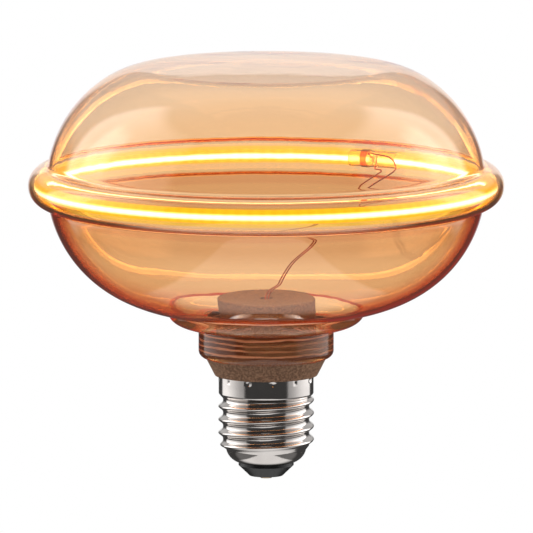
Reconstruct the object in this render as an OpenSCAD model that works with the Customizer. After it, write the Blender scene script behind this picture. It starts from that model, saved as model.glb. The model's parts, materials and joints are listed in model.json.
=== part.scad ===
// Wide, flattened glass lamp: a ring of LED filament lies in the hollow rim bead,
// a driver stands in the neck and an E27 screw base is below.
// Z is the lamp's axis. z = 0 is the tip of the centre contact, and the glass is above it.
// Lengths are in millimetres, angles in degrees. The front of the lamp faces -Y.

/* [Envelope] */
// Diameter of the dome and the bowl where they meet the rim
body_d = 120; // [112:1:140]
// How far the rim bead stands out from the body
bead_out = 5; // [4.4:0.1:5.2]
// Radius of the rim bead's round section
bead_r = 5.3; // [5:0.1:6]
// Radius of the crease above and below the bead
crease_r = 0.8; // [0.5:0.1:1.5]
// Height of the dome above the rim plane
dome_h = 33.5; // [26:0.2:50]
// Radius of the dome's round side
dome_side_r = 34.3; // [30:0.1:38]
// Radius of the dome's shallow crown
crown_curve = 560; // [300:10:800]
// Radius that blends the crown into the side
crown_blend = 24; // [6:0.5:28]
// Depth of the bowl below the rim plane, measured on the axis
bowl_h = 36.4; // [28:0.2:50]
// Wall of the blown glass
glass_wall = 1; // [0.8:0.1:1.4]
// Diameter of the shoulder where the bowl turns down to the neck
shoulder_d = 53.6; // [48:0.2:64]
// Height of the shoulder
shoulder_h = 4.3; // [3.5:0.1:6]
// Outer diameter of the neck
neck_d = 37; // [36:0.1:40]
// Height of the neck from its lip to the shoulder
neck_h = 8.2; // [7.4:0.1:14]
// Wall of the neck
neck_wall = 1.5; // [1.2:0.1:1.8]
// Outer radius of the inward lip at the neck's end
lip_r = 2.2; // [2:0.1:2.6]

/* [Filament] */
// Diameter of the filament's silicone coat
coat_d = 3.8; // [3:0.1:4]
// Compass angle of the joint between the filament's ends
joint_angle = 60.3; // [0:0.1:359]
// Gap between the coat's two ends inside the sleeve
end_gap = 3.4; // [3:0.1:6]
// Length of the clear sleeve over the joint
sleeve_l = 15; // [12:0.5:24]
// Wall of the sleeve
sleeve_wall = 0.35; // [0.2:0.05:0.5]
// Width of the band around the sleeve
band_w = 2; // [1:0.1:2.6]
// Thickness of the band
band_t = 0.2; // [0.1:0.05:0.3]
// Height of the flexible strip inside the coat
strip_w = 1.6; // [1.2:0.1:2]
// Thickness of the flexible strip
strip_t = 0.3; // [0.2:0.05:0.4]
// Length of one LED chip along the strip
chip_l = 1.1; // [0.8:0.1:1.4]
// Height of one LED chip
chip_w = 0.6; // [0.4:0.1:0.8]
// Thickness of one LED chip
chip_t = 0.25; // [0.15:0.05:0.35]
// Distance from one LED chip to the next
chip_pitch = 3.2; // [2.4:0.1:6]
// Diameter of the copper lead wires
lead_d = 0.4; // [0.3:0.05:0.5]

/* [Base housing] */
// Outer diameter of the driver tube inside the bulb
tube_d = 27.2; // [26:0.1:28]
// Wall of the driver tube
tube_wall = 1.4; // [1.2:0.1:1.6]
// Height of the driver tube above the collar, lid included
tube_h = 15.9; // [12:0.1:20]
// Thickness of the lid
lid_t = 1.3; // [1:0.1:2]
// Depth of the lid's plug inside the tube
plug_h = 2; // [1.5:0.1:3]
// Diameter of the wire hole in the lid
wire_hole_d = 3.9; // [3:0.1:5]
// Height of the tapered collar between the cap and the glass
collar_h = 4.8; // [4:0.1:7]
// Diameter of the collar at the cap
collar_d = 28; // [27:0.1:29]
// Diameter of the collar under the glass
collar_top_d = 33; // [32:0.1:34]
// Diameter of the glue seat's core inside the neck
seat_d = 31.2; // [30:0.1:31.4]
// Number of glue ribs round the seat
rib_count = 5; // [3:1:6]
// Height of the spaces between the glue ribs
rib_pitch = 1.25; // [1.1:0.05:1.3]
// How far each glue rib stands out
rib_out = 0.45; // [0.3:0.05:0.6]

/* [Screw base] */
// Diameter over the thread's crests
thread_d = 26.2; // [26.05:0.05:26.45]
// Depth of the rolled thread
thread_depth = 1.3; // [1.05:0.05:1.4]
// Pitch of the thread, seven turns to the inch
thread_pitch = 3.629; // [3.5:0.001:3.75]
// Diameter of the plain skirt at the top of the shell
skirt_d = 26; // [25.8:0.1:26.4]
// Height of the plain skirt
skirt_h = 4.8; // [4:0.1:6]
// Height from the centre contact to the top of the shell
cap_h = 28.5; // [27:0.1:31]
// Thickness of the shell's sheet
shell_t = 0.3; // [0.2:0.05:0.35]
// Diameter of the hole at the bottom of the shell
mouth_d = 15.4; // [14.5:0.1:16.5]
// Diameter of the insulator's small end
nose_d = 10.2; // [9:0.1:11]
// Diameter of the centre contact's head
contact_d = 3.6; // [3.2:0.1:5]
// Thickness of the centre contact's head
contact_t = 0.75; // [0.6:0.05:1]
// Diameter of the centre contact's pin
pin_d = 1.6; // [1.2:0.1:2]

/* [Driver] */
// Thickness of the circuit board
board_t = 1; // [0.8:0.1:1.6]
// Height of the circuit board's wide part
board_h = 15.5; // [15:0.1:16.5]
// Height of the circuit board's narrow tail
tail_h = 11; // [10:0.1:12]
// Diameter of the filter capacitor
cap_can_d = 8; // [6.3:0.1:8]
// Length of the filter capacitor
cap_can_l = 11; // [9:0.1:11.5]
// Diameter of the inductor
choke_d = 7; // [5:0.1:7]
// Height of the inductor
choke_h = 6.4; // [5:0.1:6.5]
// Diameter of the fusible resistor
fuse_d = 3; // [2.3:0.1:3.4]
// Length of the fusible resistor
fuse_l = 8; // [6:0.1:8.5]
// Diameter of the tinned component wires
wire_d = 0.6; // [0.5:0.05:0.8]

/* [Clearances] */
// Between the band on the filament's joint and the glass
bead_gap = 0.05; // [0.02:0.01:0.2]
// Between pieces that slide together, on the radius
slide_gap = 0.05; // [0.02:0.01:0.15]
// Between the housing and the shell round it, on the radius
shell_gap = 0.1; // [0.05:0.01:0.2]
// Between the circuit board and the bore that it stands in
board_gap = 0.3; // [0.1:0.05:0.4]

/* [Hidden] */

ring_fine = 360;
fine = 96;
mid = 48;
eps = 0.01;

// Squareness of the bowl: first seen from the axis, then from the rim plane
bowl_n = 3.24;
bowl_m = 1.845;

// Radii of the glass
body_r = body_d / 2;
rim_r = body_r + bead_out;
bead_c = rim_r - bead_r;
bead_in_r = bead_r - glass_wall;
in_body_r = body_r - glass_wall;
in_bowl_h = bowl_h - glass_wall;
shoulder_r = shoulder_d / 2;
in_shoulder_r = shoulder_r - glass_wall;
neck_r = neck_d / 2;
in_neck_r = neck_r - neck_wall;
lip_end_r = neck_r - lip_r;
in_lip_r = lip_r - neck_wall;
// How far above the shoulder's lower end the neck's thicker wall reaches
neck_thickening = 0.4;

// How far along the axis a bowl of radius R and height H is at radius r
function rise(r, R, H, n, m) = H * pow(1 - pow(r / R, n), 1 / m);
// Radius of such a bowl at height h
function girth(h, R, H, n, m) = R * pow(1 - pow(h / H, m), 1 / n);
// One point of it at the angle t
function oval(t, R, H, n, m) = [R * pow(cos(t), 2 / n), H * pow(sin(t), 2 / m)];
// The angles at which it reaches the height h or the radius r
function angle_at_h(h, H, m) = asin(pow(h / H, m / 2));
function angle_at_r(r, R, n) = acos(pow(r / R, n / 2));
function between(a, b, i, count) = a + (b - a) * i / count;
// Points on an arc about the centre c
function arc(c, r, a0, a1, count) = [
    for (i = [0:count])
        let (a = between(a0, a1, i, count)) c + r * [cos(a), sin(a)]
];
function reversed(p) = [for (i = [len(p) - 1:-1:0]) p[i]];
// Where two circles meet, on the side away from the axis when b is below a
function meet(a, ra, b, rb) =
    let (d = norm(b - a), u = (b - a) / d)
    let (x = (d * d + ra * ra - rb * rb) / (2 * d))
    a + x * u + sqrt(ra * ra - x * x) * [-u[1], u[0]];
function bearing(v) = atan2(v[1], v[0]);
// Smooth step from 0 to 1 as x goes from a to b
function ease(a, b, x) = let (t = min(1, max(0, (x - a) / (b - a)))) t * t * (3 - 2 * t);

// Heights, from the contact upwards
lip_z = cap_h + collar_h;
shoulder_bottom_z = lip_z + neck_h;
shoulder_z = shoulder_bottom_z + shoulder_h;
rim_z = shoulder_z + rise(shoulder_r, body_r, bowl_h, bowl_n, bowl_m);
in_shoulder_z = rim_z - rise(in_shoulder_r, in_body_r, in_bowl_h, bowl_n, bowl_m);

// Filament ring
coat_r = coat_d / 2;
sleeve_in_r = coat_r + slide_gap;
sleeve_r = sleeve_in_r + sleeve_wall;
band_r = sleeve_r + slide_gap + band_t;
ring_r = bead_c + bead_in_r - bead_gap - band_r;
// Angle that a length takes up on the ring
function ring_angle(l) = l / ring_r * 180 / PI;
coat_from = joint_angle + ring_angle(end_gap / 2);
coat_turn = 360 - ring_angle(end_gap);
terminal_l = 1.2;
terminal_t = 0.3;
tab_l = terminal_l + 0.1;
chip_count = floor((coat_turn - ring_angle(2 * chip_pitch)) / ring_angle(chip_pitch));

// Base housing
tube_r = tube_d / 2;
bore_r = tube_r - tube_wall;
tube_top_z = lip_z + tube_h - lid_t;
lid_z = tube_top_z + lid_t;
seat_r = seat_d / 2;
seat_h = rib_count * rib_pitch + 0.5;
root_r = thread_d / 2 - thread_depth;
skirt_r = skirt_d / 2;
skirt_z = cap_h - skirt_h;
tail_r = root_r - shell_t - shell_gap;
tail_l = 12.5;
tail_z = cap_h - tail_l;
tail_wall = 1.3;
tail_bore_r = tail_r - tail_wall;
plug_r = skirt_r - shell_t - shell_gap;
ledge_drop = 0.5;
ledge_z = cap_h - ledge_drop;

// Screw shell: a rounded cup at its lower end, with its section's centre at cup_c and cup_z
cup_r = 4.7;
cup_in = 5.45;
cup_drop = 19.5;
cup_c = root_r - cup_in;
cup_z = cap_h - cup_drop;
cup_from = -acos((mouth_d / 2 - cup_c) / cup_r);
cup_to = -16;
cup_end_z = cup_z + cup_r * sin(cup_to);
flare_h = 1.6;
root_z = cup_end_z + flare_h;
neck_in_z = skirt_z - flare_h;
crest_width = 1.6;
thread_phase = 0.02;

// Insulator and contact
mouth_z = cup_z + cup_r * sin(cup_from);
core_z = cup_end_z + 0.2;
pin_top_z = core_z + 0.6;
pin_r = pin_d / 2;

// Driver
board_w = 2 * (sqrt(pow(bore_r, 2) - pow(board_t / 2, 2)) - board_gap);
tail_w = 2 * (sqrt(pow(tail_bore_r, 2) - pow(board_t / 2, 2)) - board_gap);
board_z = ledge_z;
board_top_z = board_z + board_h;
board_face = board_t / 2;
stand_off = 0.3;
pin_out = 0.6;
cap_x = -5;
cap_y = -board_face - stand_off - cap_can_d / 2;
cap_seal_t = 1;
cap_can_t = 0.3;
cap_z = board_z + 3;
choke_x = 5;
choke_z = board_z + 8;
choke_rim = 1;
fuse_x = -3.6;
fuse_y = -board_face - stand_off - fuse_d / 2;
fuse_z = board_z - tail_h + 1.6;
live_z = board_z - tail_h - 1.2;
neutral_z = tail_z - 0.9;
neutral_x = 6;
wire_r = wire_d / 2;
wire_bend = 0.55;
// Heights of the flat components' rows on the board's back
chip_row = board_z + 5.2;
resistor_row = board_z + 9.6;
ceramic_row = board_z + 12.6;
row_pitch = 4.2;

glass_colour = [0.93, 0.62, 0.33, 0.4];
phosphor_colour = [1, 0.8, 0.25];
copper_colour = [0.75, 0.4, 0.22];
housing_colour = [0.55, 0.45, 0.37];
nickel_colour = [0.8, 0.78, 0.75];
tin_colour = [0.78, 0.78, 0.8];

// The dome's section above the rim plane: a round side, a blend and a shallow crown.
// It is drawn as high as the side's arc allows and then stretched to the dome's height.
crown_cut = 0.8;
crown_top = dome_side_r - crown_cut;
dome_stretch = dome_h / crown_top;
side_c = [body_r - dome_side_r, 0];
crown_c = [0, crown_top - crown_curve];
blend_c = meet(side_c, dome_side_r - crown_blend, crown_c, crown_curve - crown_blend);
side_end = bearing(blend_c - side_c);
crown_start = bearing(blend_c - crown_c);

// Points of the dome from the height h up to the axis, inset by the wall
function dome_curve(inset, h) =
    let (side_start = asin(h / dome_stretch / (dome_side_r - inset)))
    let (blend_step = (crown_start - side_end) / 6)
    let (points = concat(
        arc(side_c, dome_side_r - inset, side_start, side_end, 20),
        arc(blend_c, crown_blend - inset, side_end + blend_step, crown_start - blend_step, 4),
        arc(crown_c, crown_curve - inset, crown_start, 90, 6)
    ))
    [for (p = points) [p[0], rim_z + dome_stretch * p[1]]];

// Points of the bowl from the depth h to the radius r, inset by the wall
function bowl_curve(inset, h, r, count = 30) =
    let (t0 = angle_at_h(h, bowl_h - inset, bowl_m))
    let (t1 = angle_at_r(r, body_r - inset, bowl_n))
    [for (i = [0:count])
        let (p = oval(between(t0, t1, i, count), body_r - inset, bowl_h - inset, bowl_n, bowl_m))
        [p[0], rim_z - p[1]]];

// Quarter of an ellipse from the point [r + a, z] down to [r, z - b]
function shoulder_curve(r, z, a, b, t0, t1, count = 10) = [
    for (i = [0:count])
        let (t = between(t0, t1, i, count)) [r + a * cos(t), z - b * sin(t)]
];

// The creases run round above and below the bead, with their centres at these points of the section
crease_h = bead_r + crease_r;
crease_top = [dome_curve(0, crease_h)[0][0] + crease_r, rim_z + crease_h];
crease_low = [girth(crease_h, body_r, bowl_h, bowl_n, bowl_m) + crease_r, rim_z - crease_h];

// Points of the bead from its upper crease to its lower one, inset by the wall
function bead_curve(inset) =
    let (r = bead_r - inset)
    concat(
        arc(crease_top, crease_r + inset, 186, 264, 6),
        arc([bead_c, rim_z], r, acos((crease_top[0] - bead_c) / r),
            -acos((crease_low[0] - bead_c) / r), 24),
        arc(crease_low, crease_r + inset, 96, 174, 6)
    );

// One closed outline: down the outside, in at the lip and back up the inside
function envelope_section() = concat(
    reversed(dome_curve(0, crease_h)),
    bead_curve(0),
    bowl_curve(0, crease_h, shoulder_r),
    shoulder_curve(neck_r, shoulder_z, shoulder_r - neck_r, shoulder_h, 8, 90),
    arc([lip_end_r, lip_z + lip_r], lip_r, 0, -90, 8),
    arc([lip_end_r, lip_z + lip_r], in_lip_r, -90, 0, 5),
    shoulder_curve(in_neck_r, in_shoulder_z, in_shoulder_r - in_neck_r,
        in_shoulder_z - shoulder_bottom_z - neck_thickening, 90, 8),
    reversed(bowl_curve(glass_wall, crease_h, in_shoulder_r)),
    reversed(bead_curve(glass_wall)),
    dome_curve(glass_wall, crease_h)
);

module glass_envelope() {
    color(glass_colour)
        rotate_extrude($fn = fine) polygon(envelope_section());
}

// Sweep of a section, drawn about the filament's centre, along part of the ring
module along_ring(from, turn) {
    translate([0, 0, rim_z]) rotate([0, 0, from])
        rotate_extrude(angle = turn, $fn = ring_fine) translate([ring_r, 0]) children();
}

// Section of the channel that the strip and its chips take up in the coat
module strip_section() {
    square([strip_t, strip_w], center = true);
}

module filament_coat() {
    color(phosphor_colour)
        along_ring(coat_from, coat_turn) difference() {
            circle(d = coat_d, $fn = mid);
            strip_section();
            translate([strip_t / 2 - eps, -chip_w / 2]) square([chip_t + eps, chip_w]);
        }
}

module filament_strip() {
    color("gold")
        along_ring(coat_from - ring_angle(tab_l), coat_turn + ring_angle(2 * tab_l))
            strip_section();
}

module led_chips() {
    color("lemonchiffon")
        for (i = [1:chip_count])
            along_ring(coat_from + ring_angle(chip_pitch) * i, ring_angle(chip_l))
                translate([strip_t / 2, -chip_w / 2]) square([chip_t, chip_w]);
}

// Metal tab on the inner face of the strip, where it leaves the coat
module terminal(from) {
    color(tin_colour)
        along_ring(from, ring_angle(terminal_l))
            translate([-strip_t / 2 - terminal_t, -strip_w / 2])
                square([terminal_t, strip_w]);
}

module start_terminal() {
    terminal(coat_from - ring_angle(terminal_l));
}

module end_terminal() {
    terminal(coat_from + coat_turn);
}

// Point beside the filament: in towards the axis and up, as shares of the coat's radius
function by_ring(angle, in, up) =
    let (r = ring_r - in * coat_r)
    [r * cos(angle), r * sin(angle), rim_z + up * coat_r];

// Places where the two leads leave the sleeve
exit_d = 1.1;
exit_out = 0.28 * end_gap;
start_exit = joint_angle + ring_angle(exit_out);
end_exit = joint_angle - ring_angle(exit_out);
// Directions in which they leave, from the filament's centre: above and below the horizontal
start_tilt = 38;
end_tilt = -52;

module exit_hole(angle, tilt) {
    translate([0, 0, rim_z]) rotate([0, 0, angle]) translate([ring_r, 0, 0])
        rotate([0, -90 + tilt, 0]) cylinder(d = exit_d, h = 2 * sleeve_r, $fn = 24);
}

module joint_sleeve() {
    color([0.98, 0.9, 0.7, 0.5])
        difference() {
            along_ring(joint_angle - ring_angle(sleeve_l / 2), ring_angle(sleeve_l))
                difference() {
                    circle(r = sleeve_r, $fn = mid);
                    circle(r = sleeve_in_r, $fn = mid);
                }
            exit_hole(start_exit, start_tilt);
            exit_hole(end_exit, end_tilt);
        }
}

// The band grips the sleeve beside the coat's end, clear of the lead holes
module joint_band() {
    band_from = joint_angle + ring_angle(1.9);
    color("darkorange")
        along_ring(band_from, ring_angle(band_w)) difference() {
            circle(r = band_r, $fn = mid);
            circle(r = sleeve_r + slide_gap, $fn = mid);
        }
}

// Smooth curve through the points p, with steps points from each to the next
function blend(a, b, c, d, t) = 0.5 * (
    2 * b + (c - a) * t + (2 * a - 5 * b + 4 * c - d) * t * t
    + (3 * b - a - 3 * c + d) * t * t * t
);
function spline(p, steps) =
    let (last = len(p) - 1)
    concat(
        [for (i = [0:last - 1], j = [0:steps - 1])
            blend(p[max(i - 1, 0)], p[i], p[i + 1], p[min(i + 2, last)], j / steps)],
        [p[last]]
    );
function unit(v) = v / norm(v);
function heading(p, i) = unit(p[min(i + 1, len(p) - 1)] - p[max(i - 1, 0)]);
// Side directions carried along the path without twist
function carry(p, i, side) =
    let (t = heading(p, i))
    let (s = unit(side - (side * t) * t))
    i == len(p) - 1 ? [s] : concat([s], carry(p, i + 1, s));

// Round wire of diameter d through the points of the path p
module wire(p, d, sides = 8) {
    count = len(p);
    side = carry(p, 0, [0.31, 0.83, 0.47]);
    points = [
        for (i = [0:count - 1], k = [0:sides - 1])
            let (a = 360 * k / sides)
            p[i] + d / 2 * (cos(a) * side[i] + sin(a) * cross(heading(p, i), side[i]))
    ];
    wall = [
        for (i = [0:count - 2], k = [0:sides - 1])
            let (a = i * sides + k, b = i * sides + (k + 1) % sides)
            each [[a, a + sides, b], [b, a + sides, b + sides]]
    ];
    start = [[for (k = [0:sides - 1]) k]];
    end = [[for (k = [sides - 1:-1:0]) (count - 1) * sides + k]];
    polyhedron(points, concat(wall, start, end));
}

// Route of the leads from the sleeve to the lid: share of the way out from the axis,
// share of the height above the lid, and sideways shift of both leads in wire diameters
lead_route = [
    [0.90, 0.87, -2.5, 5.5],
    [0.86, 0.79, -0.5, 2.25],
    [0.87, 0.75, 2, 4.25],
    [0.76, 0.70, 0, 2],
    [0.54, 0.61, 0, 2],
    [0.47, 0.575, 0, 2],
    [0.43, 0.43, 0, 2],
    [0.28, 0.32, 0, 2],
    [0.22, 0.27, 0, 2],
    [0.15, 0.16, -0.75, 1.25],
    [0.115, 0.09, -1, 1],
    [0.05, 0.06, -1.25, 1],
    [0.01, 0.01, -1.25, 1.25]
];
lead_top = by_ring(joint_angle - 1.4, 1.58, -1.37);
function lead_point(share, height, shift) =
    let (out = unit([lead_top[0], lead_top[1], 0]))
    [lead_top[0] * share, lead_top[1] * share, lid_z + (lead_top[2] - lid_z) * height]
        + shift * lead_d * [out[1], -out[0], 0];

// Both leads start against their terminals and end on pads at the board's upper edge
solder_gap = 0.02;
solder_in = (strip_t / 2 + terminal_t + lead_d / 2 + solder_gap) / coat_r;
pad_x = 2;
pad_z = board_top_z - 1;
pad_run = 2;
lead_rest = board_face + lead_d / 2 + slide_gap;
lead_in_hole = 0.14 * wire_hole_d;
lead_front = 0.08 * wire_hole_d;

start_lead_path = spline(concat(
    [
        by_ring(start_exit, solder_in, 0.18),
        by_ring(start_exit, 0.9, 0.7),
        by_ring(start_exit, 1.32, 1.05),
        by_ring(start_exit - 2, 1.58, 1),
        by_ring(joint_angle - 6, 1.58, 0.68),
        by_ring(joint_angle - 8, 1.58, -0.26),
        by_ring(joint_angle - 7.6, 1.68, -1.47)
    ],
    [for (q = lead_route) lead_point(q[0], q[1], q[3])],
    [
        [lead_in_hole, -lead_front, tube_top_z - plug_h],
        [pad_x, -lead_rest, pad_z + pad_run],
        [pad_x, -lead_rest, pad_z]
    ]
), 3);

end_lead_path = spline(concat(
    [
        by_ring(end_exit, solder_in, -0.24),
        by_ring(end_exit, 0.63, -0.79),
        by_ring(end_exit, 1, -1.32),
        by_ring(joint_angle - 3.4, 1.47, -1.58)
    ],
    [for (q = lead_route) lead_point(q[0], q[1], q[2])],
    [
        [-lead_in_hole, -lead_front, tube_top_z - plug_h],
        [-pad_x, -lead_rest, pad_z + pad_run],
        [-pad_x, -lead_rest, pad_z]
    ]
), 3);

module start_lead() {
    color(copper_colour) wire(start_lead_path, lead_d, 6);
}

module end_lead() {
    color(copper_colour) wire(end_lead_path, lead_d, 6);
}

// Outline of the housing's outside, from its tail in the cap to the top of its tube
module housing_outline() {
    polygon([
        [0, tail_z],
        [tail_r - 0.5, tail_z],
        [tail_r, tail_z + 0.5],
        [tail_r, neck_in_z],
        [plug_r, skirt_z + 0.4],
        [plug_r, cap_h],
        [collar_d / 2, cap_h],
        [collar_d / 2 + 0.2, cap_h + 0.3],
        [collar_top_d / 2, lip_z],
        [seat_r, lip_z],
        [seat_r, lip_z + seat_h],
        [tube_r, lip_z + seat_h],
        [tube_r, tube_top_z],
        [0, tube_top_z]
    ]);
    for (i = [0:rib_count - 1])
        translate([seat_r, lip_z + 0.25 + rib_pitch * (i + 0.5)])
            circle(r = rib_out, $fn = 24);
}

// A notch in the tail lets the neutral wire up against the shell
notch_w = wire_d + 0.4;
neutral_r = root_r - shell_t - wire_r - slide_gap;

module base_housing() {
    color(housing_colour)
        difference() {
            rotate_extrude($fn = fine) difference() {
                housing_outline();
                translate([0, tail_z - eps]) square([tail_bore_r, ledge_z - tail_z + 2 * eps]);
                translate([0, ledge_z]) square([bore_r, tube_top_z - ledge_z + eps]);
            }
            translate([neutral_r - wire_r - 0.15, -notch_w / 2, tail_z - eps])
                cube([tail_r, notch_w, neck_in_z - 0.6 - tail_z]);
        }
}

module housing_lid() {
    edge = 0.3;
    plug_wall = 1;
    plug_out = bore_r - slide_gap;
    color(housing_colour)
        rotate_extrude($fn = fine) polygon([
            [wire_hole_d / 2, lid_z],
            [tube_r - edge, lid_z],
            [tube_r, lid_z - edge],
            [tube_r, tube_top_z],
            [plug_out, tube_top_z],
            [plug_out, tube_top_z - plug_h],
            [plug_out - plug_wall, tube_top_z - plug_h],
            [plug_out - plug_wall, tube_top_z],
            [wire_hole_d / 2, tube_top_z]
        ]);
}

// Clear glue between the ribbed seat and the inside of the neck
module neck_adhesive() {
    color([0.9, 0.85, 0.75, 0.5])
        rotate_extrude($fn = fine) difference() {
            polygon(concat(
                [[seat_r - eps, lip_z], [lip_end_r, lip_z]],
                arc([lip_end_r, lip_z + lip_r], in_lip_r, -90, 0, 5),
                [[in_neck_r, lip_z + seat_h - 0.4], [seat_r - eps, lip_z + seat_h - 0.4]]
            ));
            housing_outline();
        }
}

// Upright board: a wide part stands on the ledge and a tail reaches down into the cap
module driver_board() {
    hole_d = wire_d + 2 * slide_gap;
    color("darkgreen")
        translate([0, board_face, 0]) rotate([90, 0, 0]) linear_extrude(board_t) difference() {
            union() {
                translate([-board_w / 2, board_z]) square([board_w, board_h]);
                translate([-tail_w / 2, board_z - tail_h]) square([tail_w, tail_h + eps]);
            }
            for (p = concat(leg_holes, [neutral_pad, fuse_top_pad]))
                translate(p) circle(d = hole_d, $fn = 24);
        }
}

// Holes and pads on the board, as [x, z]
leg_pitch = 3.5;
leg_z = cap_z - 1.4;
leg_holes = [for (s = [-1, 1]) [cap_x + s * leg_pitch / 2, leg_z]];
fuse_top_pad = [fuse_x, fuse_z + fuse_l + 1.2];
neutral_pad = [neutral_x, board_z - tail_h + 2];

// Sleeved aluminium can with a rolled groove near its open end
module filter_capacitor() {
    r = cap_can_d / 2;
    groove = 0.4;
    color("midnightblue")
        translate([cap_x, cap_y, cap_z]) rotate_extrude($fn = mid) polygon([
            [0, cap_seal_t], [r - cap_can_t, cap_seal_t], [r - cap_can_t, 0], [r - 0.2, 0],
            [r, 0.4], [r, 1.4], [r - groove, 1.8], [r, 2.2],
            [r, cap_can_l - 0.4], [r - 0.4, cap_can_l], [0, cap_can_l]
        ]);
}

module capacitor_seal() {
    color("dimgray")
        translate([cap_x, cap_y, cap_z]) difference() {
            cylinder(r = cap_can_d / 2 - cap_can_t, h = cap_seal_t, $fn = mid);
            for (s = [-1, 1])
                translate([s * leg_pitch / 2, 0, -eps])
                    cylinder(d = wire_d, h = cap_seal_t + 2 * eps, $fn = 24);
        }
}

// The points p with each corner rounded off over the length r on both sides
function bend(p, r, steps = 4) = [
    for (i = [0:len(p) - 1])
        each i == 0 || i == len(p) - 1
            ? [p[i]]
            : let (a = p[i] - r * unit(p[i] - p[i - 1]), b = p[i] + r * unit(p[i + 1] - p[i]))
                [for (j = [0:steps])
                    let (t = j / steps)
                    (1 - t) * (1 - t) * a + 2 * t * (1 - t) * p[i] + t * t * b]
];

// Tinned component wire with rounded corners
module bent_wire(p) {
    wire(bend(p, wire_bend), wire_d);
}

module capacitor_legs() {
    color(tin_colour)
        for (h = leg_holes)
            bent_wire([
                [h[0], cap_y, cap_z + cap_seal_t],
                [h[0], cap_y, h[1]],
                [h[0], board_face + pin_out, h[1]]
            ]);
}

// Ferrite drum standing on the board's front
module inductor_core() {
    r = choke_d / 2;
    waist = r * 0.5;
    color("dimgray")
        translate([choke_x, -board_face, choke_z]) rotate([90, 0, 0])
            rotate_extrude($fn = mid) polygon([
                [0, 0], [r, 0], [r, choke_rim], [waist, choke_rim],
                [waist, choke_h - choke_rim], [r, choke_h - choke_rim],
                [r, choke_h], [0, choke_h]
            ]);
}

module inductor_winding() {
    r = choke_d / 2;
    turns = 8;
    pitch = (choke_h - 2 * choke_rim) / turns;
    color(copper_colour)
        translate([choke_x, -board_face - choke_rim, choke_z]) rotate([90, 0, 0])
            rotate_extrude($fn = mid) {
                translate([r * 0.5, 0]) square([r * 0.35, choke_h - 2 * choke_rim]);
                for (i = [0:turns - 1])
                    translate([r * 0.85, pitch * (i + 0.5)]) circle(d = pitch, $fn = 16);
            }
}

// Moulded part with flat legs on two sides, on the board's back; size is [x, y, z]
module surface_part(at, size, legs, body_colour) {
    leg = [0.5, 0.25, 1];
    step = legs > 1 ? (size[0] - 1) / (legs - 1) : 0;
    translate([at[0], board_face, at[1]]) {
        color(body_colour)
            translate([-size[0] / 2, leg[1], -size[2] / 2]) cube(size);
        color(tin_colour)
            for (s = [-1, 1], i = [0:legs - 1])
                translate([(i - (legs - 1) / 2) * step - leg[0] / 2,
                           0, s * (size[2] + leg[2]) / 2 - leg[2] / 2 - s * 0.1])
                    cube([leg[0], leg[1] + 0.4, leg[2]]);
    }
}

module bridge_rectifier() {
    surface_part([-5.5, chip_row], [4.7, 2.3, 3.9], 2, "black");
}

module driver_chip() {
    surface_part([1.5, chip_row], [4.9, 1.4, 3.9], 4, "black");
}

// Flat block with metal ends, on the board's back
module chip_block(at, size, body_colour) {
    end = 0.5;
    translate([at[0] - size[0] / 2, board_face, at[1] - size[2] / 2]) {
        color(body_colour) translate([end, 0, 0]) cube([size[0] - 2 * end, size[1], size[2]]);
        color(tin_colour)
            for (x = [0, size[0] - end]) translate([x, 0, 0]) cube([end + eps, size[1], size[2]]);
    }
}

module sense_resistors() {
    for (i = [0:2])
        chip_block([-6 + row_pitch * i, resistor_row], [3.1, 0.55, 1.6], "black");
}

module ceramic_capacitors() {
    for (i = [0:1])
        chip_block([-3.9 + row_pitch * i, ceramic_row], [3.1, 1.1, 1.6], "tan");
}

// Resistor with bulged end caps, upright in front of the tail
module fusible_resistor() {
    r = fuse_d / 2;
    color("olivedrab")
        translate([fuse_x, fuse_y, fuse_z]) rotate_extrude($fn = mid) polygon([
            [0, 0], [r - 0.4, 0], [r, 0.4], [r, 1.4], [r - 0.25, 1.8],
            [r - 0.25, fuse_l - 1.8], [r, fuse_l - 1.4], [r, fuse_l - 0.4],
            [r - 0.4, fuse_l], [0, fuse_l]
        ]);
}

module resistor_wire() {
    color(tin_colour)
        bent_wire([
            [fuse_x, fuse_y, fuse_z + fuse_l],
            [fuse_x, fuse_y, fuse_top_pad[1]],
            [fuse_x, board_face + pin_out, fuse_top_pad[1]]
        ]);
}

// From the resistor's lower end to the top of the contact's pin
module live_wire() {
    color(tin_colour)
        bent_wire([
            [fuse_x, fuse_y, fuse_z],
            [fuse_x, fuse_y, live_z],
            [0, 0, live_z],
            [0, 0, pin_top_z]
        ]);
}

// From the board's tail, under the housing and up its notch against the shell
module neutral_wire() {
    out = board_face + 0.9;
    color(tin_colour)
        bent_wire([
            [neutral_pad[0], -board_face - pin_out, neutral_pad[1]],
            [neutral_pad[0], out, neutral_pad[1]],
            [neutral_pad[0], out, neutral_z],
            [neutral_r, 0, neutral_z],
            [neutral_r, 0, neck_in_z - 1.2]
        ]);
}

// Rolled shell. The thread's height at an angle and a height above the contact
function crest(a, z) =
    let (phase = 360 * (z / thread_pitch + thread_phase) - a)
    thread_depth * pow((1 + cos(phase)) / 2, crest_width)
        * ease(cup_end_z + 0.1, root_z + 0.9, z) * (1 - ease(neck_in_z - 0.2, skirt_z - 0.5, z));
function plain_r(z) =
    let (low = cup_c + cup_r * cos(cup_to))
    low + (root_r - low) * ease(cup_end_z, root_z, z)
        + (skirt_r - root_r) * ease(neck_in_z, skirt_z, z);

cup_rows = 6;
thread_rows = ceil((skirt_z - cup_end_z) / thread_pitch * 8);
shell_rows = cup_rows + thread_rows + 1;
shell_sides = 48;
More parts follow.
